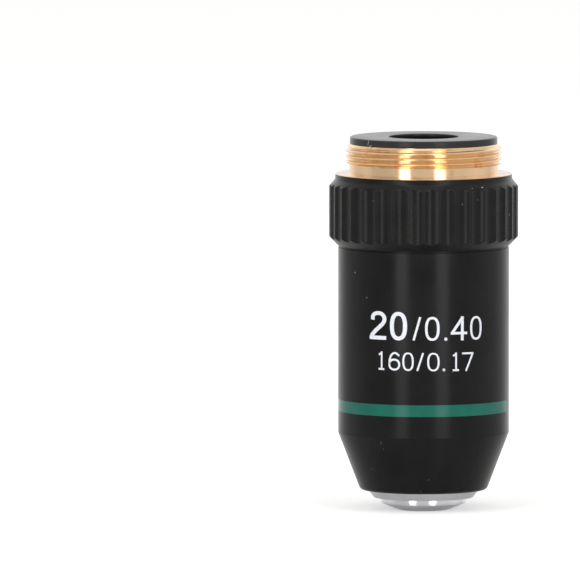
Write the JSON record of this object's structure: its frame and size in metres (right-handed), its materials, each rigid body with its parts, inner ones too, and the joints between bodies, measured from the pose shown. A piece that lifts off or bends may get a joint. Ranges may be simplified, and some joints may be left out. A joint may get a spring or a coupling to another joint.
{
  "type": "microscope objective",
  "caption": "Spring-loaded microscope objective with a brass mounting thread, a fluted black collar, a black barrel with a green ring and a retracting silver nose.",
  "frame": {"origin": "on the optical axis, in the plane of the mounting shoulder", "axes": "+Z along the optical axis towards the nosepiece that the thread goes into; -Y is the side with the numerals, the side that the picture shows"},
  "size_m": [0.0242, 0.0242, 0.0481],
  "materials": {
    "bare_brass": "bright turned brass on thread and shoulder, black on the fluted collar",
    "plain_brass": "turned",
    "black_anodised": "satin black anodised",
    "green_enamel": "satin enamel",
    "satin_chrome": "satin chrome plate",
    "blackened_brass": "matt blackened",
    "steel": "plain",
    "crown_glass": "polished and coated",
    "flint_glass": "polished and coated"
  },
  "bodies": {
    "housing": {"mount_body": "bare_brass", "rear_stop_ring": "black_anodised", "spring_retainer_ring": "plain_brass", "outer_barrel": "black_anodised", "colour_band": "green_enamel", "guide_sleeve": "plain_brass", "parfocal_lock_nut": "plain_brass", "guide_screw": "steel", "return_spring": "steel"},
    "nose": {"lens_barrel": "satin_chrome", "front_lens_cell": "satin_chrome", "front_lens": "crown_glass", "lower_spacer": "blackened_brass", "middle_lens_cell": "blackened_brass", "middle_flint_lens": "flint_glass", "middle_crown_lens": "crown_glass", "upper_spacer": "blackened_brass", "rear_lens_cell": "blackened_brass", "rear_flint_lens": "flint_glass", "rear_crown_lens": "crown_glass", "lens_retaining_ring": "blackened_brass"}
  },
  "joints": [
    {"name": "nose_retract", "type": "slide", "parent": "housing", "child": "nose", "axis": [0, 0, 1], "range_m": [0, 0.002], "stiffness_N_per_m": 600, "springref_m": -0.004, "deforming": ["return_spring"]}
  ]
}
